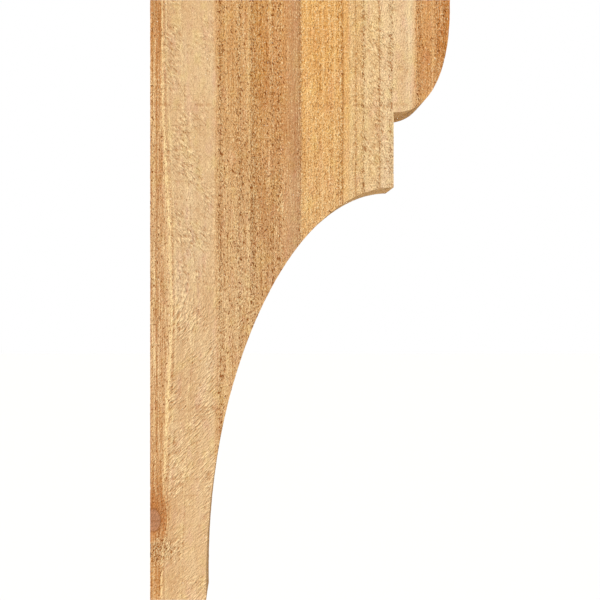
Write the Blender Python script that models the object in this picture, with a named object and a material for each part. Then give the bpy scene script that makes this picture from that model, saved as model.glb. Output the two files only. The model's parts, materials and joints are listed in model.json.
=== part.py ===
"""Wooden corbel bracket: one rough-sawn timber with a rounded nose, a square step and a long cove.

The frame is in metres. The flat back lies in the plane X = 0 and faces the wall at -X, the bracket
projects towards +X, Y is its thickness and +Z is up. The origin is the middle of the back.
"""

from math import cos, pi, sin

import bmesh
import bpy

INCH = 0.0254

# Overall sizes of the timber
HEIGHT = 24 * INCH
PROJECTION = 12 * INCH
THICKNESS = 3.5 * INCH

# The rounded nose under the top's front edge
NOSE_PROJECTION = 2.25 * INCH
NOSE_HEIGHT = 4.5 * INCH
NOSE_FULLNESS = 2.4
NOSE_SEGMENTS = 40

# The upright face of the step, between the nose and the cove
STEP_HEIGHT = 3 * INCH

# The foot of the leg, upright for a short way before the cove springs from it
FOOT_DEPTH = 2.25 * INCH
FOOT_HEIGHT = 0.75 * INCH

# The cove, a shade flatter than a true ellipse
COVE_FULLNESS = 1.94
COVE_SEGMENTS = 72

WOOD_COLOUR = (0.62, 0.38, 0.19, 1.0)
WOOD_ROUGHNESS = 0.85


def clear_scene():
    for thing in list(bpy.data.objects):
        bpy.data.objects.remove(thing, do_unlink=True)


def quarter_curve(centre, reach, drop, fullness, segments):
    """Points of a quarter superellipse, from its far side (+X) down to its lowest point.

    A fullness of 2 is a plain ellipse, and a larger one is squarer.
    """
    centre_x, centre_z = centre
    power = 2 / fullness
    points = []
    for index in range(segments + 1):
        angle = index / segments * pi / 2
        across = max(cos(angle), 0.0) ** power
        down = sin(angle) ** power
        points.append((centre_x + reach * across, centre_z - drop * down))
    return points


def nose_outline(top, step_x):
    """The convex nose, from the top's front edge down and back to the face of the step."""
    return quarter_curve((step_x, top), NOSE_PROJECTION, NOSE_HEIGHT, NOSE_FULLNESS, NOSE_SEGMENTS)


def cove_outline(cove_top, step_x, spring_z):
    """The concave cove, from the bottom of the step down to where it springs from the foot."""
    reach = step_x - FOOT_DEPTH
    rise = cove_top - spring_z
    curve = quarter_curve((0.0, 0.0), reach, rise, COVE_FULLNESS, COVE_SEGMENTS)
    return [(step_x - x, spring_z - z) for x, z in reversed(curve)]


def side_outline():
    """The (X, Z) corners of the side, from the foot of the back round by the top."""
    top = HEIGHT / 2
    bottom = -HEIGHT / 2
    step_x = PROJECTION - NOSE_PROJECTION
    cove_top = top - NOSE_HEIGHT - STEP_HEIGHT
    back = [(0.0, bottom), (0.0, top)]
    nose = nose_outline(top, step_x)
    cove = cove_outline(cove_top, step_x, bottom + FOOT_HEIGHT)
    foot = [(FOOT_DEPTH, bottom)]
    return back + nose + cove + foot


def wood_material():
    material = bpy.data.materials.new("rough_sawn_wood")
    material.use_nodes = True
    shader = material.node_tree.nodes["Principled BSDF"]
    shader.inputs["Base Color"].default_value = WOOD_COLOUR
    shader.inputs["Roughness"].default_value = WOOD_ROUGHNESS
    shader.inputs["Metallic"].default_value = 0.0
    material.diffuse_color = WOOD_COLOUR
    return material


def make_bracket():
    """The side's outline, extruded through the timber's thickness."""
    shape = bmesh.new()
    near_y = -THICKNESS / 2
    corners = [shape.verts.new((x, near_y, z)) for x, z in side_outline()]
    side = shape.faces.new(corners)
    swept = bmesh.ops.extrude_face_region(shape, geom=[side])
    far_corners = [item for item in swept["geom"] if isinstance(item, bmesh.types.BMVert)]
    bmesh.ops.translate(shape, verts=far_corners, vec=(0.0, THICKNESS, 0.0))
    bmesh.ops.recalc_face_normals(shape, faces=shape.faces)
    mesh = bpy.data.meshes.new("bracket")
    shape.to_mesh(mesh)
    shape.free()
    mesh.materials.append(wood_material())
    bracket = bpy.data.objects.new("bracket", mesh)
    bpy.context.scene.collection.objects.link(bracket)
    return bracket


clear_scene()
make_bracket()
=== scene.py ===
"""Looks of the wooden corbel bracket: one rough-sawn timber with its relief, grain and knot.

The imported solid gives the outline. Lengths are in metres in the frame, and in millimetres where a
name ends in _MM or a function says so.
"""

import json
import math
from collections import namedtuple

import bmesh
import bpy
import numpy as np
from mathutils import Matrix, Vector
from mathutils.geometry import delaunay_2d_cdt

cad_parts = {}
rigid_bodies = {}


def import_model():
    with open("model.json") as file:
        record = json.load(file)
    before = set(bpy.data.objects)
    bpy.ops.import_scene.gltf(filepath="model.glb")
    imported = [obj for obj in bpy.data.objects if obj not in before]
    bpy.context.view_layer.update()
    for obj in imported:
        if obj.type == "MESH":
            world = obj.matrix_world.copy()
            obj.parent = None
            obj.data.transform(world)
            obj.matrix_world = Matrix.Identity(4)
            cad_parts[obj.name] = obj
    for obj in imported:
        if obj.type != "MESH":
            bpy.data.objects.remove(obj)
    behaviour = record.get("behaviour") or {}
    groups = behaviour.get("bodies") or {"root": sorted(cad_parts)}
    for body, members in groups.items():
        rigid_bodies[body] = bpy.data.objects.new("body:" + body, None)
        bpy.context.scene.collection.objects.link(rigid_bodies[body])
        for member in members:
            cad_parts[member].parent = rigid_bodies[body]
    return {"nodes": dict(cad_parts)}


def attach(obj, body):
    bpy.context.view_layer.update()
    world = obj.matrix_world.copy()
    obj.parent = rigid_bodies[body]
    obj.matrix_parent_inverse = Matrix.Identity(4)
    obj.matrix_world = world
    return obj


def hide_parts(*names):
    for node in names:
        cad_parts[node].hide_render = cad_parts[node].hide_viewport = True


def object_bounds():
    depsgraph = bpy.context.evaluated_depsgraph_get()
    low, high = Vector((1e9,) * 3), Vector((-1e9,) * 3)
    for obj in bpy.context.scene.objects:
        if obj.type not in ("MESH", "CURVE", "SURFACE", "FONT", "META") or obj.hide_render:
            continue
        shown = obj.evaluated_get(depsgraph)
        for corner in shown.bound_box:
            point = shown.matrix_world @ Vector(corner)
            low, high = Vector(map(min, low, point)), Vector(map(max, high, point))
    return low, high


MM = 0.001

# The photograph's frame: the near side is as high as the picture, or a hair more, it starts at the
# wall's pixel, and the camera looks straight in at the axis's
PICTURE_PIXELS = 600
WALL_EDGE_PIXEL = 150
AXIS_PIXEL_X = 253
AXIS_PIXEL_Y = 295
OVERFILL = 1.0012
CAMERA_DISTANCE = 1.40
SENSOR_MM = 36.0

# Studio
KEY_DIRECTION = (-0.68, -0.47, 0.56)
KEY_STRENGTH = 5.0
KEY_SOFTNESS = math.radians(10)
AMBIENT = 0.65
FLOOR_DROP = 0.60
FLOOR_REACH = 20.0
FLOOR_COLOUR = (0.66, 0.655, 0.64, 1.0)
FLOOR_ROUGHNESS = 0.9

# Mesh of the timber: its spacing, and how far its points are jittered and kept clear of the rim, as
# shares of the spacing
SIDE_STEP_ACROSS_MM = 1.28
SIDE_STEP_ALONG_MM = 2.15
RIM_STEP_ACROSS_MM = 1.6
RIM_STEP_ALONG_MM = 2.15
THICKNESS_STEPS = 28
JITTER = 0.16
JITTER_SEED = 3
RIM_CLEARANCE = 0.55

# How near the solid's corners are welded, how squarely a flat face looks along its axis, and how
# sharp a turn of the outline is a corner
WELD = 1e-6
FLAT = 0.99
CORNER = math.radians(20)

# The triangulation keeps the triangles within the rim, and merges points as near as this
INSIDE_ONLY = 1
MERGE = 1e-5

# How much of the light on the near side each unit of albedo returns to the picture, and what its
# gloss returns without the wood's colour
EXPOSURE = 1.22
GLOSS = 0.006

WHITE = (1.0, 1.0, 1.0, 1.0)
BLACK = (0.0, 0.0, 0.0, 1.0)

# The tones as displayed: the wood's bands' own, those that are mixed into them, and painted light
TONES = {
    "honey": (200, 142, 87),
    "tan": (208, 171, 126),
    "buff": (215, 178, 134),
    "brown": (214, 162, 104),
    "umber": (207, 148, 84),
    "russet": (211, 150, 89),
    "pink": (190, 140, 94),
    "gold": (230, 174, 103),
    "amber": (224, 174, 109),
    "apricot": (220, 177, 120),
    "wheat": (222, 180, 123),
    "straw": (221, 183, 131),
    "ivory": (225, 191, 145),
    "cream": (218, 186, 142),
    "rust": (211, 154, 97),
    "ember": (197, 129, 68),
    "stripe": (248, 206, 152),
    "drab": (206, 176, 137),
    "dark": (155, 88, 28),
    "pale": (250, 218, 166),
    "ring edge": (168, 104, 44),
    "pale line": (250, 218, 160),
    "fleck": (142, 76, 24),
    "tuft": (254, 218, 160),
    # painted highlights, in pale specks
    "highlight_speck": (255, 240, 214),
    "knot heart": (190, 136, 101),
    "knot rim": (156, 98, 56),
    "knot halo": (190, 120, 65),
    "end grain": (176, 120, 70),
    # painted warm bounce light on the faces sawn across, which lie in shade
    "swept": (250, 190, 110),
}

# One band of the timber: where it starts, from the wall in the near side, over how wide a blend,
# its tone, and how torn, stippled and scratched by the saw it is
Band = namedtuple("Band", "start_mm blend_mm tone torn stipple scratched")
BANDS = (
    Band(0, 2, "honey", 0.34, 0.3, 0.2),
    Band(13, 3, "tan", 0.14, 0.2, 1.1),
    Band(33, 5, "tan", 0.06, 0.2, 0.75),
    Band(67, 7, "brown", 0.50, 0.3, 0.3),
    Band(103, 8, "umber", 0.50, 0.3, 0.1),
    Band(117, 6, "russet", 0.50, 0.3, 0.1),
    Band(139, 12, "pink", 0.28, 0.4, 0.0),
    Band(153.5, 3, "gold", 0.32, 1.0, 0.0),
    Band(196, 2, "amber", 0.15, 0.6, 0.4),
    Band(202, 3, "wheat", 0.15, 0.85, 0.5),
    Band(209.5, 2, "apricot", 0.15, 0.75, 0.6),
    Band(217, 4, "straw", 0.14, 0.60, 0.9),
    Band(233.5, 4, "ivory", 0.14, 0.60, 0.9),
    Band(250, 3, "buff", 0.08, 0.5, 0.4),
    Band(258.5, 3, "cream", 0.08, 0.5, 0.3),
    Band(268, 6, "rust", 0.45, 0.3, 0.1),
    Band(292.5, 3, "ember", 0.45, 0.3, 0.1),
)
LAST_RING_MM = 345.0

# A growth ring's dark edge: where it meets the near side, how far it stands proud, how dark it is,
# and how ragged the wood is beside it
Ring = namedtuple("Ring", "at_mm proud_mm dark ragged")
RINGS = (
    Ring(2.6, 0.04, 0.12, 0.2),
    Ring(6.6, 0.05, 0.60, 0.1),
    Ring(9.9, 0.05, 0.42, 0.12),
    Ring(14.2, 0.06, 0.65, 0.2),
    Ring(32.2, 0.05, 0.08, 0.25),
    Ring(67.5, 0.03, 0.22, 0.0),
    Ring(71.1, 0.04, 0.12, 0.22),
    Ring(91.4, 0.04, 0.12, 0.2),
    Ring(104.5, 0.04, 0.12, 0.3),
    Ring(108.2, 0.05, 0.22, 0.1),
    Ring(112.8, 0.04, 0.15, 0.1),
    Ring(118.9, 0.04, 0.18, 0.1),
    Ring(125.0, 0.04, 0.18, 0.2),
    Ring(131.6, 0.04, 0.12, 0.2),
    Ring(151.9, 0.04, 0.14, 0.3),
    Ring(169.7, 0.03, 0.14, 0.1),
    Ring(182.9, 0.03, 0.14, 0.1),
    Ring(191.4, 0.03, 0.25, 0.1),
    Ring(195.1, 0.08, 0.75, 0.2),
    Ring(209.3, 0.06, 0.62, 0.2),
    Ring(217.0, 0.05, 0.20, 0.5),
    Ring(233.2, 0.06, 0.50, 0.3),
    Ring(244.7, 0.05, 0.30, 0.5),
    Ring(271.3, 0.05, 0.18, 0.2),
    Ring(274.6, 0.04, 0.15, 0.1),
    Ring(291.6, 0.06, 0.10, 0.2),
    Ring(299.0, 0.04, 0.20, 0.3),
    Ring(308.0, 0.05, 0.30, 0.4),
    Ring(322.0, 0.06, 0.35, 0.4),
)

# Thin pale lines: where they meet the near side, and how pale they are
PaleLine = namedtuple("PaleLine", "at_mm pale")
PALE_LINES = (
    PaleLine(4.4, 0.35),
    PaleLine(12.5, 0.90),
    PaleLine(16.4, 0.30),
    PaleLine(31.0, 0.25),
    PaleLine(78.2, 0.25),
    PaleLine(101.4, 0.35),
    PaleLine(122.0, 0.25),
    PaleLine(158.6, 0.30),
    PaleLine(164.6, 0.25),
    PaleLine(175.4, 0.35),
    PaleLine(187.0, 0.35),
    PaleLine(204.2, 0.60),
    PaleLine(220.4, 0.35),
    PaleLine(237.8, 0.25),
    PaleLine(248.0, 0.30),
    PaleLine(263.2, 0.40),
    PaleLine(286.5, 0.40),
)

# Faint lines that the saw left straight across: how far below the top, and how dark they are
CrossLine = namedtuple("CrossLine", "below_top_mm dark")
CROSS_LINES = (
    CrossLine(45.2, 0.45),
    CrossLine(85.9, 0.30),
    CrossLine(106.2, 0.35),
    CrossLine(134.1, 0.25),
    CrossLine(172.7, 0.25),
    CrossLine(217.4, 0.25),
    CrossLine(240.5, 0.40),
    CrossLine(255.7, 0.40),
    CrossLine(347.1, 0.40),
    CrossLine(362.2, 0.35),
    CrossLine(401.3, 0.25),
    CrossLine(414.5, 0.25),
    CrossLine(468.7, 0.35),
    CrossLine(590.3, 0.30),
)
CROSS_SPAN_MM = 620.0

# How wide a ring's proud edge, the ragged wood beside it and a thin line are, how much of a line is
# its core, and how many lines a colour ramp has room for
RING_WIDTH_MM = 1.0
RAGGED_WIDTH_MM = 2.4
LINE_WIDTH_MM = 0.85
LINE_CORE = 0.4
LINES_IN_A_RAMP = 7

# How the rings run: bowed out at mid-height, from just off the wall to the brown bands, wandering a
# little, leaning and curved through the thickness, and pushed apart by the knot
BOW_MM = 10.0
BOW_FROM_MM = (6, 23)
BOW_TO_MM = (46, 66)
BULGE_MM = 6.0
BULGE_AT_MM = 46
BULGE_ACROSS_MM = 10
BULGE_ALONG_MM = 60
WANDER_MM = 1.0
WANDER_ACROSS_MM = 70
WANDER_ALONG_MM = 120
WANDER_SEED = 11
SLANT = 0.16
CURVE_PER_MM = 0.0020
KNOT_PUSH_MM = 7.0
KNOT_PUSH_AT = 1.3
KNOT_PUSH_REACH = 0.9

# The knot beside the wall, low on the leg
KNOT_PIXEL_X = 153.5
KNOT_PIXEL_Y = 520
KNOT_ACROSS_MM = 7.4
KNOT_ALONG_MM = 11.8
KNOT_LEAN = 0.30
KNOT_TAPER_PER_MM = 0.012

# The wood is darker round the knot and above it, and rough below it, in millimetres from its heart
SCORCH_RISE_MM = 12
SCORCH_ACROSS_MM = 15
SCORCH_ALONG_MM = 24
PITS_RIGHT_MM = 8
PITS_RISE_MM = -31
PITS_ACROSS_MM = 13
PITS_ALONG_MM = 11

# How much more torn and ragged the wood is there, beside a ragged ring, and where it is stippled
SCORCH_TORN = 0.3
PITS_TORN = 0.55
PITS_RAGGED = 0.8
RAGGED_TORN = 0.8
STIPPLE_RAGGED = 0.22
STIPPLE_FROM = (0.6, 1.0)

# The stripe beside the wall is paler at mid-height, and the saw's scratches are stronger there
PALER_SHARE = 0.38
PALER_FROM_MM = (0.0, 4.0)
PALER_TO_MM = (12, 16)
SCRATCHED_SHARE = 0.9
SCRATCHED_MIDDLE = 0.35

# The saw's marks lean back above this height and forward below it, as bows round the middle, and
# how finely they lie and run
SAW_TURN_Z_MM = 3
SAW_BEND_MM = 35
SAW_LEAN = 0.95
SAW_ACROSS = 0.75
SAW_ALONG = 1.3

# How far the faces lie under the solid's, for the relief to stand up in
SIDE_SKIN_MM = 0.40
RIM_SKIN_MM = 0.20

# Noise in the relief: the table of slopes it is made from, and its gain
NOISE_TABLE = 256
NOISE_GAIN = 1.5

# One kind of mark in the relief: its width and length, and the mean and swing of its strength
Mark = namedtuple("Mark", "across_mm along_mm mean swing")
PATCH_MARK = Mark(34, 60, 0.8, 0.7)
FIBRE_MARKS = (Mark(1.9, 4.2, 0.0, 1.0), Mark(2.3, 3.2, 0.0, 0.6))
FUZZ_MARK = Mark(2.0, 2.8, 0.0, 1.0)
SCRATCH_MARK = Mark(2.0, 5, 0.0, 1.0)
BREAK_MARK = Mark(20, 16, 0.65, 0.5)
PICK_MARK = Mark(2.4, 4.6, 0.0, 1.0)
END_GRAIN_MARKS = (Mark(2.6, 2.9, 0.0, 0.08), Mark(3.2, 30, 0.0, 0.10))
SWEPT_MARKS = (Mark(3.4, 60, 0.0, 0.12), Mark(16, 45, 0.0, 0.10), Mark(3.0, 5.0, 0.0, 0.07))

# How high the marks of a face sawn along the grain are, and how torn and stippled it is at least
FIBRE_HEIGHT_MM = 0.15
FUZZ_HEIGHT_MM = 0.11
SCRATCH_HEIGHT_MM = 0.045
PALE_LINE_HEIGHT_MM = 0.12
LEAST_TORN = 0.20
LEAST_STIPPLE = 0.28

# Pits picked out of it and tufts left on it: how deep and high, how strong the noise is where they
# start, over what further span they form, and how much sooner where the wood is torn or stippled
PIT_DEPTH_MM = 0.50
TUFT_HEIGHT_MM = 0.25
PICK_FROM = 0.66
PIT_SPAN = (0.0, 0.25)
TUFT_SPAN = (0.04, 0.26)
PICK_PER_TORN = 0.20
PICK_PER_STIPPLE = 0.05

# The share of the relief that the hard knot keeps
KNOT_RELIEF = 0.25

# Seeds of the relief on each face
NEAR_SEED = 100
FAR_SEED = 200
BACK_SEED = 300
END_SEED = 400
SWEPT_SEED = 500

# How far from the top or the foot the rim still belongs to it, and how strongly the saw's marks
# across show at least on the rest of the front, with the least painted warm bounce light there
END_TOLERANCE_MM = 1
LEAST_SWEPT = 0.6

# Noise in the finish: the width and length of its features, its detail and roughness, the place
# that it is read at, and how bent it is
Noise = namedtuple("Noise", "across_mm along_mm detail roughness at bent", defaults=(0.0,))
STREAKS = Noise(0.75, 38, 2.0, 0.6, (0, 0, 0))
WIDE_STREAKS = Noise(5.0, 160, 2.0, 0.5, (7, 3, 1))
FIBRES = Noise(0.8, 2.7, 2.0, 0.6, (1, 5, 2), 0.3)
FUZZ = Noise(1.15, 1.9, 2.0, 0.6, (4, 4, 9))
SCRATCHES = Noise(1.4, 4.2, 1.0, 0.5, (2, 6, 3))
SAWN_PATCHES = Noise(24, 34, 1.0, 0.5, (8, 3, 5))
CHAIN = Noise(1.2, 3.0, 1.0, 0.5, (7, 5, 8), 0.3)
FLECKS = Noise(1.7, 4.4, 1.0, 0.5, (8, 2, 7), 0.3)
DABS = Noise(2.6, 1.9, 1.0, 0.5, (3, 1, 5), 0.3)
TUFTS = Noise(1.3, 2.4, 1.0, 0.5, (5, 7, 3), 0.3)
HIGHLIGHT_SPECKS = Noise(1.7, 2.0, 1.0, 0.5, (9, 9, 4))
CLUSTERS = Noise(9, 14, 2.0, 0.6, (2, 8, 8))
CHATTER = Noise(30, 1.5, 1.0, 0.5, (6, 6, 2), 0.2)
CROSS_BREAKS = Noise(9, 7, 1.0, 0.5, (6, 2, 6))
LINE_BREAKS = Noise(3, 7, 2.0, 0.6, (9, 1, 5))
WIGGLE = Noise(3.0, 3.6, 1.0, 0.5, (2, 2, 6))
KERFS = Noise(2.4, 45, 2.0, 0.6, (3, 3, 3))
GROWTH = Noise(2.6, 1, 2.0, 0.6, (5, 2, 2))
SHADE = Noise(26, 80, 2.0, 0.5, (4, 9, 2))
WARMTH = Noise(9, 26, 2.0, 0.6, (3, 8, 4))
COOLNESS = Noise(12, 18, 2.0, 0.6, (6, 1, 8))
CENTRED_GAIN = 5.0

# A value between low and high is spread from to_low to to_high
Spread = namedtuple("Spread", "low high to_low to_high", defaults=(0.0, 1.0))

# How strong each kind of grain is, by how torn, stippled, scratched or ragged the wood is, and
# streaks by their ring's distance from the wall
FIBRE_GAIN = Spread(0.0, 1.0, 0.30, 2.30)
FUZZ_GAIN = Spread(0.0, 1.0, 0.38, 1.35)
SCRATCH_GAIN = Spread(0.0, 1.0, 0.05, 1.15)
SAWN_GAIN = Spread(0.38, 0.62, 0.50, 1.15)
STREAK_GAIN = Spread(0.0, 0.6, 0.18, 0.76)
WALL_STREAK_GAIN = Spread(11.0, 15.0, 1.8, 1.0)
CHAIN_GAIN = Spread(0.20, 0.45, 0.0, 1.1)
# The rough marks in the tone: torn-fibre grain, and painted shade where the bump sinks, painted
# light where it rises
ROUGH_GRAIN_AND_SHADE_GAIN = 0.80
WIDE_STREAK_GAIN = 0.20
KERF_GAIN = 1.2
GROWTH_GAIN = 0.60
# The relief's height in the tone: painted shade in its hollows, painted light on its raised parts
PAINTED_RELIEF_SHADE_GAIN = 1.2

# How far the grain's dark and pale tones take over, the dark by how torn the wood is
DARK_TONE = -1.6
DARK_SHARE = Spread(0.10, 0.40, 0.58, 0.82)
PALE_SHARE = Spread(0.0, 1.6, 0.0, 0.85)

# Soft patches of colour: a noise, and for each spread of it what the colour is multiplied by
MOTTLES = (
    (
        SHADE,
        (
            (Spread(0.50, 0.72, 0.0, 0.45), (0.84, 0.72, 0.62, 1.0)),
            (Spread(0.50, 0.28, 0.0, 0.40), (1.10, 1.24, 1.42, 1.0)),
        ),
    ),
    (WARMTH, ((Spread(0.50, 0.72, 0.0, 0.26), (1.02, 0.86, 1.20, 1.0)),)),
    (COOLNESS, ((Spread(0.50, 0.72, 0.0, 0.35), (1.06, 1.20, 0.92, 1.0)),)),
)
DRAB_SHARE = 0.40

# Where lines show, how far they wiggle, and how much the marks lean as the saw's do
LINE_SHOWS = Spread(0.32, 0.54, 0.25, 1.0)
CROSS_SHOWS = Spread(0.38, 0.60)
CHATTER_SHOWS = Spread(0.68, 0.74, 0.0, 0.20)
WIGGLE_MM = 0.30
LEANING_SHARE = 0.35

# Dark flecks and dabs, pale tufts, and specks of painted highlight: how strong their noise is where
# they start, how sharply they rise from there, and how far their colour takes over
FLECK_FROM = Spread(0.0, 0.8, 0.755, 0.572)
CLUSTER_GAIN = -0.025
DAB_LATER = 0.05
FLECK_RISE = 12.0
FLECK_SHARE = Spread(0.0, 1.0, 0.0, 0.92)
TUFT_FROM = Spread(0.1, 0.5, 0.75, 0.57)
TUFT_RISE = 10.0
TUFT_SHARE = Spread(0.0, 1.0, 0.0, 0.55)
HIGHLIGHT_SPECK_SHARE = Spread(0.74, 0.80)

# The knot's colours, over the distance from its heart, where 1 is its rim
SCORCH_SHARE = 0.72
HALO_SHARE = Spread(1.9, 1.0, 0.0, 0.45)
HEART_SHARE = Spread(1.05, 0.85, 0.0, 0.85)
RIM_FROM_OUTSIDE = Spread(1.16, 1.02)
RIM_FROM_INSIDE = Spread(0.84, 0.98)
RIM_SHARE = 0.60
INNER_KNOT = Spread(0.95, 0.8)
KNOT_RING_PACE = 26.0
KNOT_RING_SHARE = 0.22
CRACK_DROP = 0.08
CRACK = Spread(0.12, 0.02)
CRACK_SHARE = 0.45

# The end grain's tone, and the painted warm bounce light on the swept faces, which lie in shade
END_GRAIN_SHARE = 0.25
PAINTED_BOUNCE_SHARE = 0.45

# Gloss and bump
ROUGHNESS = Spread(-1.0, 1.0, 0.95, 0.75)
SPECULAR = 0.08
BUMP_MM = 0.28
MARK_BUMP = Spread(0.0, 1.0, 0.0, 1.5)
KERF_BUMP = 2.5


def clear_scene():
    for thing in list(bpy.data.objects):
        bpy.data.objects.remove(thing, do_unlink=True)


def linear(colour):
    """A displayed colour, 0 to 255, as the linear one that the shaders take, by sRGB's formula."""
    shares = np.array(colour, float) / 255
    return np.where(shares <= 0.04045, shares / 12.92, ((shares + 0.055) / 1.055) ** 2.4)


def albedo(tone):
    """The surface colour that shows as this tone on the near side."""
    return (*(linear(TONES[tone]) / EXPOSURE - GLOSS), 1.0)


# Camera, light and floor


def make_camera(low, high):
    """Looks straight along +Y at the near side, with the photograph's framing."""
    pixel = (high.z - low.z) / PICTURE_PIXELS
    data = bpy.data.cameras.new("camera")
    data.sensor_width = SENSOR_MM
    data.lens = SENSOR_MM * CAMERA_DISTANCE / (pixel * PICTURE_PIXELS) * OVERFILL
    data.shift_x = 0.5 - AXIS_PIXEL_X / PICTURE_PIXELS
    data.shift_y = AXIS_PIXEL_Y / PICTURE_PIXELS - 0.5
    camera = bpy.data.objects.new("camera", data)
    camera.location = (
        low.x + (AXIS_PIXEL_X - WALL_EDGE_PIXEL) * pixel,
        low.y - CAMERA_DISTANCE,
        high.z - AXIS_PIXEL_Y * pixel,
    )
    camera.rotation_euler = (math.pi / 2, 0.0, 0.0)
    bpy.context.scene.collection.objects.link(camera)
    bpy.context.scene.camera = camera


def make_key_light():
    data = bpy.data.lights.new("key", "SUN")
    data.energy = KEY_STRENGTH
    data.angle = KEY_SOFTNESS
    key = bpy.data.objects.new("key", data)
    key.rotation_euler = Vector(KEY_DIRECTION).to_track_quat("Z", "Y").to_euler()
    bpy.context.scene.collection.objects.link(key)


def make_world():
    """White all round, and dimmer as a light than as a backdrop."""
    world = bpy.data.worlds.new("studio")
    world.use_nodes = True
    bpy.context.scene.world = world
    world.node_tree.nodes.clear()
    graph = Graph(world.node_tree)
    seen = graph.add("ShaderNodeBackground", Color=WHITE, Strength=1.0)
    light = graph.add("ShaderNodeBackground", Color=WHITE, Strength=AMBIENT)
    path = graph.add("ShaderNodeLightPath")
    both = graph.add("ShaderNodeMixShader", Fac=path.outputs["Is Camera Ray"])
    graph.plug(both.inputs[1], light.outputs[0])
    graph.plug(both.inputs[2], seen.outputs[0])
    graph.add("ShaderNodeOutputWorld", Surface=both.outputs[0])


def make_floor(low):
    mesh = bpy.data.meshes.new("floor")
    reach = FLOOR_REACH
    corners = [(-reach, -reach, 0), (reach, -reach, 0), (reach, reach, 0), (-reach, reach, 0)]
    mesh.from_pydata(corners, [], [(0, 1, 2, 3)])
    floor = bpy.data.objects.new("floor", mesh)
    floor.location.z = low.z - FLOOR_DROP
    material = bpy.data.materials.new("pale_floor")
    material.use_nodes = True
    shader = material.node_tree.nodes["Principled BSDF"]
    shader.inputs["Base Color"].default_value = FLOOR_COLOUR
    shader.inputs["Roughness"].default_value = FLOOR_ROUGHNESS
    mesh.materials.append(material)
    bpy.context.scene.collection.objects.link(floor)


# Fields over the timber, which its relief and its finish share


def gradient_noise(across, along, seed):
    """Smooth noise from about -1 to 1 over a plane, with features one unit apart."""
    angles = np.random.default_rng(seed).uniform(0, 2 * math.pi, (NOISE_TABLE, NOISE_TABLE))
    cell_a = np.floor(across).astype(int)
    cell_b = np.floor(along).astype(int)
    total = np.zeros(len(across))
    for step_a in (0, 1):
        for step_b in (0, 1):
            angle = angles[(cell_a + step_a) % NOISE_TABLE, (cell_b + step_b) % NOISE_TABLE]
            off_a = across - cell_a - step_a
            off_b = along - cell_b - step_b
            slope = np.cos(angle) * off_a + np.sin(angle) * off_b
            total += slope * fade(1 - np.abs(off_a)) * fade(1 - np.abs(off_b))
    return total * NOISE_GAIN


def fade(share):
    """A share from 0 to 1, with no slope or curve at either end."""
    return share**3 * (share * (share * 6 - 15) + 10)


def smooth_step(value, low, high):
    """The value's place between low and high, from 0 to 1, with no slope at either end."""
    share = np.clip((value - low) / (high - low), 0, 1)
    return share * share * (3 - 2 * share)


def hump(value, middle, width):
    """1 where the value is at the middle, and less to either side."""
    return np.exp(-(((value - middle) / width) ** 2))


def knot_heart(low, high):
    """The X and Z in mm of the knot's heart in the near side."""
    pixel = (high.z - low.z) / MM / PICTURE_PIXELS
    heart_x = low.x / MM + (KNOT_PIXEL_X - WALL_EDGE_PIXEL) * pixel
    return heart_x, high.z / MM - KNOT_PIXEL_Y * pixel


def knot_field(points, heart, near_y):
    """Distance from the knot's heart, where 1 is its rim.

    The branch leans in and thins with depth.
    """
    depth = points[:, 1] - near_y
    across = (points[:, 0] - heart[0] - KNOT_LEAN * depth) / KNOT_ACROSS_MM
    along = (points[:, 2] - heart[1]) / KNOT_ALONG_MM
    return np.hypot(across, along) * (1 + KNOT_TAPER_PER_MM * depth)


def patch_field(points, heart, near_y, offset, reach):
    """How far into a soft patch beside the knot each point is, from 0 to 1."""
    across = points[:, 0] - heart[0] - offset[0] - KNOT_LEAN * (points[:, 1] - near_y)
    along = points[:, 2] - heart[1] - offset[1]
    return hump(across, 0, reach[0]) * hump(along, 0, reach[1])


def middle_share(z, height):
    """1 at mid-height, and 0 at the top and the foot."""
    return np.cos(math.pi * z / height) ** 2


def ring_field(points, knot, near_y, height):
    """Each point's place among the growth rings, as a distance from the wall in the near side."""
    x, y, z = points.T
    depth = y - near_y
    bow = BOW_MM * middle_share(z, height)
    bow *= smooth_step(x, *BOW_FROM_MM) * (1 - smooth_step(x, *BOW_TO_MM))
    bow += BULGE_MM * hump(z, 0, BULGE_ALONG_MM) * hump(x, BULGE_AT_MM, BULGE_ACROSS_MM)
    wander = gradient_noise(x / WANDER_ACROSS_MM, z / WANDER_ALONG_MM, WANDER_SEED)
    bend = SLANT * depth + CURVE_PER_MM * depth**2
    push = KNOT_PUSH_MM * hump(knot, KNOT_PUSH_AT, KNOT_PUSH_REACH) * np.sign(x)
    return x - bow + WANDER_MM * wander + bend - push


def band_spans():
    """Each band, and the rings between which it is unblended."""
    ends = [band.start_mm - band.blend_mm / 2 for band in BANDS[1:]] + [LAST_RING_MM]
    for band, end in zip(BANDS, ends):
        yield band, band.start_mm + band.blend_mm / 2, end


def band_value(ring, name):
    """A band's own number, torn, stipple or scratched, at each ring.

    It is blended where two bands meet.
    """
    places = []
    values = []
    for band, start, end in band_spans():
        places += [start, end]
        values += [getattr(band, name)] * 2
    return np.interp(ring, places, values)


def ragged_share(ring):
    """How ragged the wood is beside its rings."""
    return sum(edge.ragged * hump(ring, edge.at_mm, RAGGED_WIDTH_MM) for edge in RINGS)


def torn_share(ring):
    """How torn the wood is: each band's own share, and more beside a ragged ring."""
    return band_value(ring, "torn") + RAGGED_TORN * ragged_share(ring)


def saw_place(across, along):
    """Each point's place across the saw's marks and along them, in mm."""
    bow = np.hypot(along - SAW_TURN_Z_MM, SAW_BEND_MM)
    return SAW_ACROSS * (across + SAW_LEAN * bow), SAW_ALONG * along


def marked(kinds, across, along, seed):
    """The sum of these kinds of marks, each with a seed of its own."""
    total = np.zeros(len(across))
    for index, kind in enumerate(kinds):
        noise = gradient_noise(across / kind.across_mm, along / kind.along_mm, seed + index)
        total += kind.mean + kind.swing * noise
    return total


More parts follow.
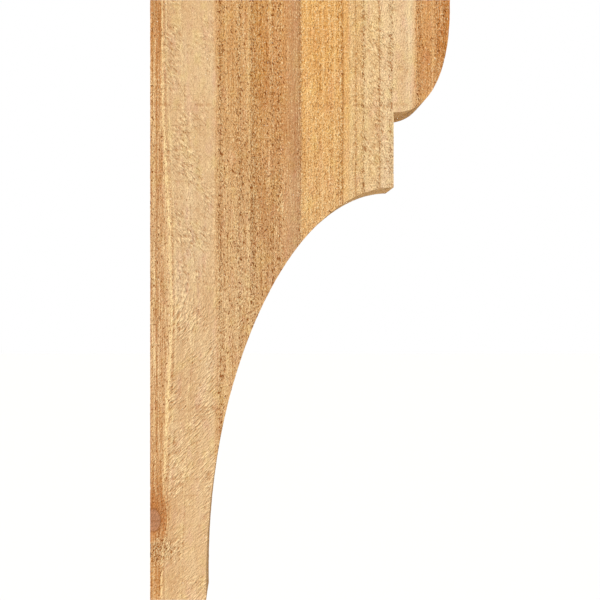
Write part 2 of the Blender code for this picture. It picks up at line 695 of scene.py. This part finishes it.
def long_grain_relief(across, along, ring, knot, seed):
    """Height in mm of a face that the saw cut along the grain."""
    torn = torn_share(ring)
    stipple = band_value(ring, "stipple")
    patch = marked([PATCH_MARK], across, along, seed)
    fibres = marked(FIBRE_MARKS, across, along, seed + 1)
    fuzz = marked([FUZZ_MARK], across, along, seed + 3)
    scratches = marked([SCRATCH_MARK], *saw_place(across, along), seed + 5)
    broken = marked([BREAK_MARK], across, along, seed + 6)
    picks = marked([PICK_MARK], across, along, seed + 7)
    height = FIBRE_HEIGHT_MM * (LEAST_TORN + torn) * patch * fibres
    height += FUZZ_HEIGHT_MM * (LEAST_STIPPLE + stipple) * fuzz
    height += SCRATCH_HEIGHT_MM * band_value(ring, "scratched") * scratches
    for edge in RINGS:
        height += edge.proud_mm * hump(ring, edge.at_mm, RING_WIDTH_MM) * broken
    for line in PALE_LINES:
        proud_mm = PALE_LINE_HEIGHT_MM * line.pale
        height += proud_mm * hump(ring, line.at_mm, RING_WIDTH_MM) * broken
    start = PICK_FROM - PICK_PER_TORN * torn - PICK_PER_STIPPLE * stipple
    height -= PIT_DEPTH_MM * smooth_step(picks, start + PIT_SPAN[0], start + PIT_SPAN[1])
    height += TUFT_HEIGHT_MM * smooth_step(-picks, start + TUFT_SPAN[0], start + TUFT_SPAN[1])
    return np.where(knot < 1, height * KNOT_RELIEF, height)


# The timber's mesh


def side_outline(node):
    """The (X, Z) corners of the solid's near side in mm, in order."""
    shape = bmesh.new()
    shape.from_mesh(node.data)
    bmesh.ops.remove_doubles(shape, verts=shape.verts, dist=WELD)
    shape.normal_update()
    following = {}
    for face in shape.faces:
        if face.normal.y > -FLAT:
            continue
        for loop in face.loops:
            if loop.link_loop_radial_next.face.normal.y > -FLAT:
                following[loop.vert] = loop.link_loop_next.vert
    corner = next(iter(following))
    outline = []
    for _ in following:
        outline.append((corner.co.x / MM, corner.co.z / MM))
        corner = following[corner]
    shape.free()
    return np.array(outline)


def rim_points(outline):
    """The outline with its long edges parted, and each point's outward normal."""
    points = []
    for start, end in zip(outline, np.roll(outline, -1, axis=0)):
        run = end - start
        length = np.hypot(*run)
        across, along = np.abs(run) / length
        step = RIM_STEP_ACROSS_MM * across + RIM_STEP_ALONG_MM * along
        count = max(1, math.ceil(length / step))
        points += [start + run * index / count for index in range(count)]
    points = np.array(points)
    ahead = np.roll(points, -1, axis=0) - points
    ahead /= np.linalg.norm(ahead, axis=1)[:, None]
    behind = np.roll(ahead, 1, axis=0)
    turn = np.arccos(np.clip((ahead * behind).sum(axis=1), -1, 1))
    along = ahead + behind
    along /= np.linalg.norm(along, axis=1)[:, None]
    normals = np.stack([along[:, 1], -along[:, 0]], axis=1)
    return points, normals, turn > CORNER


def inside(points, outline):
    """True for each point within the closed outline."""
    found = np.zeros(len(points), bool)
    for (x0, z0), (x1, z1) in zip(outline, np.roll(outline, -1, axis=0)):
        if z0 == z1:
            continue
        crossed = (points[:, 1] < z0) != (points[:, 1] < z1)
        meets = x0 + (points[:, 1] - z0) * (x1 - x0) / (z1 - z0)
        found ^= crossed & (points[:, 0] < meets)
    return found


def face_points(rim):
    """Staggered points over the side, clear of its rim, in mm."""
    low = rim.min(axis=0)
    high = rim.max(axis=0)
    rows = np.arange(low[1], high[1], SIDE_STEP_ALONG_MM)
    columns = np.arange(low[0], high[0], SIDE_STEP_ACROSS_MM)
    x, z = np.meshgrid(columns, rows)
    x = x + SIDE_STEP_ACROSS_MM / 2 * (np.arange(len(rows)) % 2)[:, None]
    points = np.stack([x.ravel(), z.ravel()], axis=1)
    spread = np.random.default_rng(JITTER_SEED).uniform(-JITTER, JITTER, points.shape)
    step = np.array([SIDE_STEP_ACROSS_MM, SIDE_STEP_ALONG_MM])
    points += spread * step
    points = points[inside(points, rim)]
    return points[PointGrid(rim / step).nearest(points / step) > RIM_CLEARANCE]


class PointGrid:
    """Finds how far points are from the nearest of a set, out to one unit."""

    def __init__(self, points):
        self.cells = {}
        for point in points:
            self.cells.setdefault(tuple(np.floor(point).astype(int)), []).append(point)

    def nearest(self, points):
        distances = np.ones(len(points))
        cells = np.floor(points).astype(int)
        near_rim = set()
        for a, b in self.cells:
            near_rim |= {(a + i, b + j) for i in (-1, 0, 1) for j in (-1, 0, 1)}
        for index, (a, b) in enumerate(map(tuple, cells)):
            if (a, b) not in near_rim:
                continue
            for i in (-1, 0, 1):
                for j in (-1, 0, 1):
                    for point in self.cells.get((a + i, b + j), ()):
                        distances[index] = min(distances[index], math.dist(point, points[index]))
        return distances


def triangulate(rim, face):
    """Triangles over the side. The rim's points come first, in their own order."""
    step = np.array([SIDE_STEP_ACROSS_MM, SIDE_STEP_ALONG_MM])
    points = np.concatenate([rim, face])
    flat = [Vector(point) for point in points / step]
    edge = list(range(len(rim)))
    made = delaunay_2d_cdt(flat, [], [edge], INSIDE_ONLY, MERGE)
    source = [first[0] for first in made[3]]
    triangles = [[source[corner] for corner in triangle] for triangle in made[2]]
    return points, np.array(triangles)


def build_timber(node, low, high):
    """The timber's mesh in mm before its relief, and its outline.

    Gives the points, the triangles of both sides, the quads round the outline, the loops of points
    round it from near to far, and the outline's normals, corners and points.
    """
    near_y, far_y = low.y / MM, high.y / MM
    outline = side_outline(node)
    rim, normals, corners = rim_points(outline)
    flat, triangles = triangulate(rim, face_points(rim))
    count = len(rim)
    levels = np.linspace(near_y, far_y, THICKNESS_STEPS + 1)

    near = np.insert(flat, 1, near_y, axis=1)
    far = np.insert(flat, 1, far_y, axis=1)
    band = [np.insert(rim, 1, level, axis=1) for level in levels[1:-1]]
    points = np.concatenate([near, far, *band])

    far_start = len(flat)
    band_start = 2 * len(flat)
    loops = [np.arange(count)]
    loops += [band_start + step * count + np.arange(count) for step in range(THICKNESS_STEPS - 1)]
    loops += [far_start + np.arange(count)]
    quads = []
    for here, there in zip(loops, loops[1:]):
        quads.append(np.stack([here, there, np.roll(there, -1), np.roll(here, -1)], axis=1))
    quads = np.concatenate(quads)

    sides = np.concatenate([triangles, triangles[:, ::-1] + far_start])
    return points, sides, quads, loops, normals, corners, rim


def relieve_sides(points, moved, fields, near_y, far_y):
    """Moves both sides in by their relief."""
    for side_y, inward, seed in ((near_y, 1, NEAR_SEED), (far_y, -1, FAR_SEED)):
        face = np.flatnonzero(points[:, 1] == side_y)
        x, _, z = points[face].T
        raised = long_grain_relief(x, z, fields["ring"][face], fields["knot"][face], seed)
        fields["relief"][face] = raised
        moved[face, 1] += inward * np.clip(SIDE_SKIN_MM - raised, 0, None)


def relieve_rim(points, moved, fields, loops, normals, rim, low, high):
    """Moves the back, top, foot, nose and cove in by their relief."""
    arc = np.concatenate([[0], np.cumsum(np.linalg.norm(np.diff(rim, axis=0), axis=1))])
    end_share = np.abs(normals[:, 1])
    at_top = rim[:, 1] > high.z / MM - END_TOLERANCE_MM
    at_foot = rim[:, 1] < low.z / MM + END_TOLERANCE_MM
    back = normals[:, 0] < -FLAT
    top_or_foot = (end_share > FLAT) & (at_top | at_foot)
    for loop in loops:
        depth = points[loop, 1]
        z = points[loop, 2]
        long_grain = long_grain_relief(
            depth, z, fields["ring"][loop], fields["knot"][loop], BACK_SEED
        )
        end_grain = marked(END_GRAIN_MARKS, rim[:, 0], depth, END_SEED)
        swept = marked(SWEPT_MARKS, arc, depth, SWEPT_SEED)
        raised = np.where(back, long_grain, np.where(top_or_foot, end_grain, swept))
        sunk = np.clip(RIM_SKIN_MM - raised, 0, None)
        moved[loop, 0] -= normals[:, 0] * sunk
        moved[loop, 2] -= normals[:, 1] * sunk
        inner = (depth > low.y / MM) & (depth < high.y / MM)
        sawn_across = inner & ~back & ~top_or_foot
        fields["relief"][loop] = np.where(inner, raised, fields["relief"][loop])
        fields["end_grain"][loop] = np.where(inner, end_share, 0)
        # the swept field also sets the painted warm bounce light, more on faces turned up or down
        fields["swept"][loop] = np.where(sawn_across, np.maximum(end_share, LEAST_SWEPT), 0)
        fields["way_round"][loop] = arc


def add_finish_fields(points, fields, heart, low, high):
    """Adds the fields that the relief doesn't need."""
    near_y = low.y / MM
    ring = fields["ring"]
    z = points[:, 2]
    middle = middle_share(z, (high.z - low.z) / MM)
    paler = smooth_step(ring, *PALER_FROM_MM) * (1 - smooth_step(ring, *PALER_TO_MM))
    scorched = patch_field(
        points, heart, near_y, (0, SCORCH_RISE_MM), (SCORCH_ACROSS_MM, SCORCH_ALONG_MM)
    )
    pitted = patch_field(
        points, heart, near_y, (PITS_RIGHT_MM, PITS_RISE_MM), (PITS_ACROSS_MM, PITS_ALONG_MM)
    )
    stipple = band_value(ring, "stipple")
    scratched = band_value(ring, "scratched")
    tufted = STIPPLE_RAGGED * smooth_step(stipple, *STIPPLE_FROM)
    fields["middle"] = middle
    fields["below_top"] = high.z / MM - z
    fields["paler"] = PALER_SHARE * middle * paler
    fields["scorched"] = scorched
    fields["knot_rise"] = (z - heart[1]) / KNOT_ALONG_MM
    fields["torn"] = torn_share(ring) + PITS_TORN * pitted + SCORCH_TORN * scorched
    fields["stipple"] = stipple
    fields["scratched"] = scratched * (SCRATCHED_SHARE + SCRATCHED_MIDDLE * middle)
    fields["ragged"] = ragged_share(ring) + PITS_RAGGED * pitted + tufted


def relieve(points, loops, normals, rim, low, high):
    """The vertices moved in by the relief, and the fields that the finish reads at them."""
    near_y, far_y = low.y / MM, high.y / MM
    height = (high.z - low.z) / MM
    heart = knot_heart(low, high)
    knot = knot_field(points, heart, near_y)
    fields = {"ring": ring_field(points, knot, near_y, height), "knot": knot}
    for name in ("relief", "end_grain", "swept", "way_round"):
        fields[name] = np.zeros(len(points))
    moved = points.copy()
    relieve_sides(points, moved, fields, near_y, far_y)
    relieve_rim(points, moved, fields, loops, normals, rim, low, high)
    add_finish_fields(points, fields, heart, low, high)
    return moved, fields


def make_timber(node, low, high):
    points, sides, quads, loops, normals, corners, rim = build_timber(node, low, high)
    moved, fields = relieve(points, loops, normals, rim, low, high)
    mesh = bpy.data.meshes.new("sawn_timber")
    mesh.from_pydata((moved * MM).tolist(), [], sides.tolist() + quads.tolist())
    mesh.update()
    for name, values in fields.items():
        attribute = mesh.attributes.new(name, "FLOAT", "POINT")
        attribute.data.foreach_set("value", values.astype(np.float32))
    mesh.polygons.foreach_set("use_smooth", np.ones(len(mesh.polygons), bool))
    mark_sharp(mesh, loops, corners)
    mesh.materials.append(wood_material())
    timber = bpy.data.objects.new("sawn_timber", mesh)
    bpy.context.scene.collection.objects.link(timber)
    return timber


def mark_sharp(mesh, loops, corners):
    """Sharp edges round both sides, and along the outline's corners through the thickness."""
    edges = np.empty(len(mesh.edges) * 2, np.int32)
    mesh.edges.foreach_get("vertices", edges)
    edges = edges.reshape(-1, 2)
    place = np.full(len(mesh.vertices), -1)
    level = np.full(len(mesh.vertices), -1)
    for index, loop in enumerate(loops):
        place[loop] = np.arange(len(loop))
        level[loop] = index
    count = len(loops[0])
    apart = np.abs(place[edges[:, 0]] - place[edges[:, 1]])
    on_rim = (place[edges] >= 0).all(axis=1)
    same_level = level[edges[:, 0]] == level[edges[:, 1]]
    outer = np.isin(level[edges[:, 0]], (0, len(loops) - 1))
    around = on_rim & same_level & outer & ((apart == 1) | (apart == count - 1))
    through = on_rim & (apart == 0) & corners[place[edges[:, 0]]]
    mesh.edges.foreach_set("use_edge_sharp", around | through)


# The wood's finish


class Graph:
    """Adds nodes to a tree. An input is a plain value or another node's output."""

    def __init__(self, tree):
        self.tree = tree
        self.fields = {}

    def plug(self, socket, value):
        if isinstance(value, bpy.types.NodeSocket):
            self.tree.links.new(value, socket)
        else:
            socket.default_value = value

    def add(self, kind, settings=None, **inputs):
        node = self.tree.nodes.new(kind)
        for name, value in (settings or {}).items():
            setattr(node, name, value)
        for name, value in inputs.items():
            self.plug(node.inputs[name.replace("_", " ")], value)
        return node

    def field(self, name):
        """The mesh's own field of this name."""
        if name not in self.fields:
            node = self.add("ShaderNodeAttribute", {"attribute_name": name})
            self.fields[name] = node.outputs["Fac"]
        return self.fields[name]

    def math(self, operation, first, second=0.0, third=0.0):
        node = self.add("ShaderNodeMath", {"operation": operation})
        for socket, value in zip(node.inputs, (first, second, third)):
            self.plug(socket, value)
        return node.outputs[0]

    def times(self, first, second):
        return self.math("MULTIPLY", first, second)

    def total(self, *values):
        """The sum of the values."""
        total = values[0]
        for value in values[1:]:
            total = self.math("ADD", total, value)
        return total

    def above(self, value, start, rise):
        """How far the value is above its start, rising this sharply."""
        return self.times(self.math("SUBTRACT", value, start), rise)

    def spread(self, value, spread):
        """The value's place in the spread, which it doesn't leave."""
        node = self.add("ShaderNodeMapRange", {"interpolation_type": "SMOOTHSTEP"})
        for socket, number in zip(node.inputs, (value, *spread)):
            self.plug(socket, number)
        return node.outputs[0]

    def mix(self, share, first, second, blend="MIX"):
        node = self.add("ShaderNodeMix", {"data_type": "RGBA", "blend_type": blend})
        self.plug(node.inputs[0], share)
        self.plug(node.inputs[6], first)
        self.plug(node.inputs[7], second)
        return node.outputs[2]

    def noise(self, position, kind):
        """Noise of this kind from 0 to 1. Its length lies up the grain."""
        across = 1 / (kind.across_mm * MM)
        along = 1 / (kind.along_mm * MM)
        place = self.add(
            "ShaderNodeMapping", Vector=position, Location=kind.at, Scale=(across, across, along)
        )
        node = self.add(
            "ShaderNodeTexNoise",
            Vector=place.outputs[0],
            Scale=1.0,
            Detail=kind.detail,
            Roughness=kind.roughness,
            Distortion=kind.bent,
        )
        return node.outputs["Fac"]

    def centred(self, position, kind):
        """Noise of this kind, spread about 0 with most of it from -1 to 1."""
        noise = self.noise(position, kind)
        return self.math("MULTIPLY_ADD", noise, CENTRED_GAIN, -CENTRED_GAIN / 2)

    def ramp(self, value, stops):
        node = self.add("ShaderNodeValToRGB", Fac=value)
        ramp = node.color_ramp
        ramp.interpolation = "LINEAR"
        while len(ramp.elements) > 1:
            ramp.elements.remove(ramp.elements[-1])
        ramp.elements[0].position = stops[0][0]
        ramp.elements[0].color = stops[0][1]
        for place, colour in stops[1:]:
            ramp.elements.new(place).color = colour
        return node.outputs["Color"]


def band_colour(graph):
    """The bands' own colours over the rings."""
    share = graph.math("DIVIDE", graph.field("ring"), LAST_RING_MM)
    stops = []
    tone = None
    for band, start, end in band_spans():
        colour = albedo(band.tone)
        if band.tone == tone:
            stops.pop()
        else:
            stops.append((start / LAST_RING_MM, colour))
        stops.append((end / LAST_RING_MM, colour))
        tone = band.tone
    return graph.ramp(share, stops)


def thin_lines(graph, value, lines, span=LAST_RING_MM):
    """The strength of thin lines, each where the value has its place in mm, up to the span."""
    share = graph.math("DIVIDE", value, span)
    half = LINE_WIDTH_MM / span
    core = half * LINE_CORE
    total = None
    for first in range(0, len(lines), LINES_IN_A_RAMP):
        stops = []
        for at_mm, strength in lines[first : first + LINES_IN_A_RAMP]:
            middle = at_mm / span
            grey = (strength, strength, strength, 1.0)
            stops.append((middle - half, BLACK))
            stops.append((middle - core, grey))
            stops.append((middle + core, grey))
            stops.append((middle + half, BLACK))
        found = graph.ramp(share, stops)
        total = found if total is None else graph.mix(1.0, total, found, "ADD")
    return total


def saw_coordinates(graph, position):
    """The place across the saw's marks, the depth, and the place along the marks."""
    axes = graph.add("ShaderNodeSeparateXYZ", Vector=position)
    z = graph.math("SUBTRACT", axes.outputs["Z"], SAW_TURN_Z_MM * MM)
    squares = graph.math("MULTIPLY_ADD", z, z, (SAW_BEND_MM * MM) ** 2)
    bow = graph.math("SQRT", squares)
    over = graph.math("MULTIPLY_ADD", bow, SAW_LEAN, axes.outputs["X"])
    over = graph.times(over, SAW_ACROSS)
    down = graph.times(axes.outputs["Z"], SAW_ALONG)
    return graph.add("ShaderNodeCombineXYZ", X=over, Y=axes.outputs["Y"], Z=down).outputs[0]


def kerf_marks(graph, position):
    """The saw's marks across the thickness, by the way round the outline."""
    way_round = graph.times(graph.field("way_round"), MM)
    depth = graph.add("ShaderNodeSeparateXYZ", Vector=position).outputs["Y"]
    rim_place = graph.add("ShaderNodeCombineXYZ", X=way_round, Z=depth).outputs[0]
    return graph.centred(rim_place, KERFS)


def rough_marks(graph, position, leaning, saw_marks):
    """Torn fibres, fuzz and the saw's scratches, about 0."""
    sawn = graph.spread(graph.noise(position, SAWN_PATCHES), SAWN_GAIN)
    scratches = graph.times(graph.centred(saw_marks, SCRATCHES), sawn)
    fibre_gain = graph.spread(graph.field("torn"), FIBRE_GAIN)
    fuzz_gain = graph.spread(graph.field("stipple"), FUZZ_GAIN)
    scratch_gain = graph.spread(graph.field("scratched"), SCRATCH_GAIN)
    return graph.total(
        graph.times(graph.centred(leaning, FIBRES), fibre_gain),
        graph.times(graph.centred(leaning, FUZZ), fuzz_gain),
        graph.times(scratches, scratch_gain),
    )


def grain_and_painted_shade_tone(graph, position, leaning, bent_ring, rough, kerfs):
    """How dark, below 0, or pale, above it, the grain is, with painted shade and light that follow
    the relief and the bump.
    """
    near_wall = graph.spread(graph.field("ring"), WALL_STREAK_GAIN)
    streaks = graph.times(graph.centred(position, STREAKS), near_wall)
    streak_gain = graph.spread(graph.field("torn"), STREAK_GAIN)
    chain_gain = graph.spread(graph.field("ragged"), CHAIN_GAIN)
    kerf_gain = graph.times(graph.field("swept"), KERF_GAIN)
    growth_gain = graph.times(graph.field("end_grain"), GROWTH_GAIN)
    in_rings = graph.times(bent_ring, MM)
    ring_place = graph.add("ShaderNodeCombineXYZ", X=in_rings).outputs[0]
    return graph.total(
        # grain, with painted shade where the bump sinks and painted light where it rises
        graph.times(rough, ROUGH_GRAIN_AND_SHADE_GAIN),
        graph.times(streaks, streak_gain),
        graph.times(graph.centred(position, WIDE_STREAKS), WIDE_STREAK_GAIN),
        graph.times(graph.centred(leaning, CHAIN), chain_gain),
        graph.times(kerfs, kerf_gain),
        graph.times(graph.centred(ring_place, GROWTH), growth_gain),
        # painted shade in the relief's hollows and painted light on its raised parts
        graph.times(graph.field("relief"), PAINTED_RELIEF_SHADE_GAIN),
    )


def torn_marks(graph, position, leaning):
    """How far each point is into a dark fleck, and into a pale tuft."""
    clusters = graph.centred(position, CLUSTERS)
    fleck_from = graph.spread(graph.field("torn"), FLECK_FROM)
    fleck_from = graph.math("MULTIPLY_ADD", clusters, CLUSTER_GAIN, fleck_from)
    dab_from = graph.math("ADD", fleck_from, DAB_LATER)
    fleck = graph.above(graph.noise(leaning, FLECKS), fleck_from, FLECK_RISE)
    dab = graph.above(graph.noise(leaning, DABS), dab_from, FLECK_RISE)
    tuft_from = graph.spread(graph.field("ragged"), TUFT_FROM)
    tuft_from = graph.math("MINIMUM", fleck_from, tuft_from)
    tuft = graph.above(graph.noise(leaning, TUFTS), tuft_from, TUFT_RISE)
    return graph.math("MAXIMUM", fleck, dab), tuft


def with_mottling(graph, colour, position):
    """The colour with the paler stripe, the drab middle and soft patches."""
    colour = graph.mix(graph.field("paler"), colour, albedo("stripe"))
    drab = graph.times(graph.field("middle"), DRAB_SHARE)
    colour = graph.mix(drab, colour, albedo("drab"))
    for kind, patches in MOTTLES:
        noise = graph.noise(position, kind)
        for spread, factor in patches:
            colour = graph.mix(graph.spread(noise, spread), colour, factor, "MULTIPLY")
    return colour


def with_grain_and_painted_shade(graph, colour, tone):
    """The colour with the grain's dark and pale tones, in which are painted shade and light from
    the relief and the bump.
    """
    dark_share = graph.spread(graph.field("torn"), DARK_SHARE)
    dark = graph.spread(tone, Spread(0.0, DARK_TONE, 0.0, dark_share))
    colour = graph.mix(dark, colour, albedo("dark"))
    return graph.mix(graph.spread(tone, PALE_SHARE), colour, albedo("pale"))


def with_lines(graph, colour, position, wiggle, bent_ring):
    """The colour with the rings' dark edges, the pale lines and the saw's lines across."""
    broken = graph.spread(graph.noise(position, LINE_BREAKS), LINE_SHOWS)
    edges = thin_lines(graph, bent_ring, [(edge.at_mm, edge.dark) for edge in RINGS])
    colour = graph.mix(graph.times(edges, broken), colour, albedo("ring edge"))
    lines = thin_lines(graph, bent_ring, PALE_LINES)
    colour = graph.mix(graph.times(lines, broken), colour, albedo("pale line"))
    chatter = graph.spread(graph.noise(position, CHATTER), CHATTER_SHOWS)
    colour = graph.mix(chatter, colour, albedo("dark"))
    below_top = graph.math("MULTIPLY_ADD", wiggle, WIGGLE_MM, graph.field("below_top"))
    across = thin_lines(graph, below_top, CROSS_LINES, CROSS_SPAN_MM)
    crossed = graph.spread(graph.noise(position, CROSS_BREAKS), CROSS_SHOWS)
    return graph.mix(graph.times(across, crossed), colour, albedo("dark"))


def with_torn_marks(graph, colour, position, fleck, tuft):
    """The colour with dark flecks, pale tufts and pale specks of painted highlight."""
    colour = graph.mix(graph.spread(fleck, FLECK_SHARE), colour, albedo("fleck"))
    colour = graph.mix(graph.spread(tuft, TUFT_SHARE), colour, albedo("tuft"))
    # pale specks of painted highlight
    highlight_speck = graph.spread(graph.noise(position, HIGHLIGHT_SPECKS), HIGHLIGHT_SPECK_SHARE)
    return graph.mix(highlight_speck, colour, albedo("highlight_speck"))


def with_knot(graph, colour):
    """The colour with the scorched wood, and the knot's halo, heart, rim, rings and crack."""
    knot = graph.field("knot")
    rim = albedo("knot rim")
    scorched = graph.times(graph.field("scorched"), SCORCH_SHARE)
    colour = graph.mix(scorched, colour, albedo("knot halo"))
    colour = graph.mix(graph.spread(knot, HALO_SHARE), colour, albedo("knot halo"))
    colour = graph.mix(graph.spread(knot, HEART_SHARE), colour, albedo("knot heart"))
    outside = graph.spread(knot, RIM_FROM_OUTSIDE)
    at_rim = graph.times(outside, graph.spread(knot, RIM_FROM_INSIDE))
    colour = graph.mix(graph.times(at_rim, RIM_SHARE), colour, rim)
    inner = graph.spread(knot, INNER_KNOT)
    rings = graph.math("SINE", graph.times(knot, KNOT_RING_PACE))
    rings = graph.times(inner, graph.times(rings, KNOT_RING_SHARE))
    colour = graph.mix(rings, colour, rim)
    off_crack = graph.math("ABSOLUTE", graph.math("ADD", graph.field("knot_rise"), CRACK_DROP))
    crack = graph.times(graph.spread(off_crack, CRACK), inner)
    return graph.mix(graph.times(crack, CRACK_SHARE), colour, rim)


def with_ends(graph, colour):
    """The colour with the end grain's tone, and a painted warm bounce light on the swept faces."""
    end_grain = graph.times(graph.field("end_grain"), END_GRAIN_SHARE)
    colour = graph.mix(end_grain, colour, albedo("end grain"))
    # painted warm bounce light on the swept faces
    swept = graph.times(graph.field("swept"), PAINTED_BOUNCE_SHARE)
    return graph.mix(swept, colour, albedo("swept"))


def mark_bump(graph, rough, kerfs, fleck, tuft):
    """The surface's direction, with flecks sunk, tufts raised and the saw's marks across."""
    height = graph.math("SUBTRACT", rough, graph.spread(fleck, MARK_BUMP))
    height = graph.math("ADD", height, graph.spread(tuft, MARK_BUMP))
    kerf_bump = graph.times(graph.field("swept"), KERF_BUMP)
    height = graph.math("ADD", height, graph.times(kerfs, kerf_bump))
    bump = graph.add("ShaderNodeBump", Strength=1.0, Distance=BUMP_MM * MM, Height=height)
    return bump.outputs[0]


def wood_material():
    """Rough-sawn softwood: bands, ring edges, streaks, torn fibres, saw scratches and a knot."""
    material = bpy.data.materials.new("rough_sawn_wood")
    material.use_nodes = True
    shader = material.node_tree.nodes["Principled BSDF"]
    graph = Graph(material.node_tree)
    position = graph.add("ShaderNodeTexCoord").outputs["Object"]
    saw_marks = saw_coordinates(graph, position)
    leaning = graph.mix(LEANING_SHARE, position, saw_marks)
    wiggle = graph.centred(position, WIGGLE)
    bent_ring = graph.math("MULTIPLY_ADD", wiggle, WIGGLE_MM, graph.field("ring"))
    kerfs = kerf_marks(graph, position)
    rough = rough_marks(graph, position, leaning, saw_marks)
    tone = grain_and_painted_shade_tone(graph, position, leaning, bent_ring, rough, kerfs)
    fleck, tuft = torn_marks(graph, position, leaning)

    colour = with_mottling(graph, band_colour(graph), position)
    colour = with_grain_and_painted_shade(graph, colour, tone)
    colour = with_lines(graph, colour, position, wiggle, bent_ring)
    colour = with_torn_marks(graph, colour, position, fleck, tuft)
    colour = with_ends(graph, with_knot(graph, colour))
    graph.plug(shader.inputs["Base Color"], colour)
    graph.plug(shader.inputs["Roughness"], graph.spread(rough, ROUGHNESS))
    graph.plug(shader.inputs["Specular IOR Level"], SPECULAR)
    graph.plug(shader.inputs["Normal"], mark_bump(graph, rough, kerfs, fleck, tuft))
    return material


clear_scene()
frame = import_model()
cad_low, cad_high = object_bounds()

make_camera(cad_low, cad_high)
make_key_light()
make_world()
make_floor(cad_low)
bpy.context.scene.view_settings.view_transform = "Standard"

timber = make_timber(frame["nodes"]["bracket"], cad_low, cad_high)
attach(timber, "root")
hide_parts("bracket")
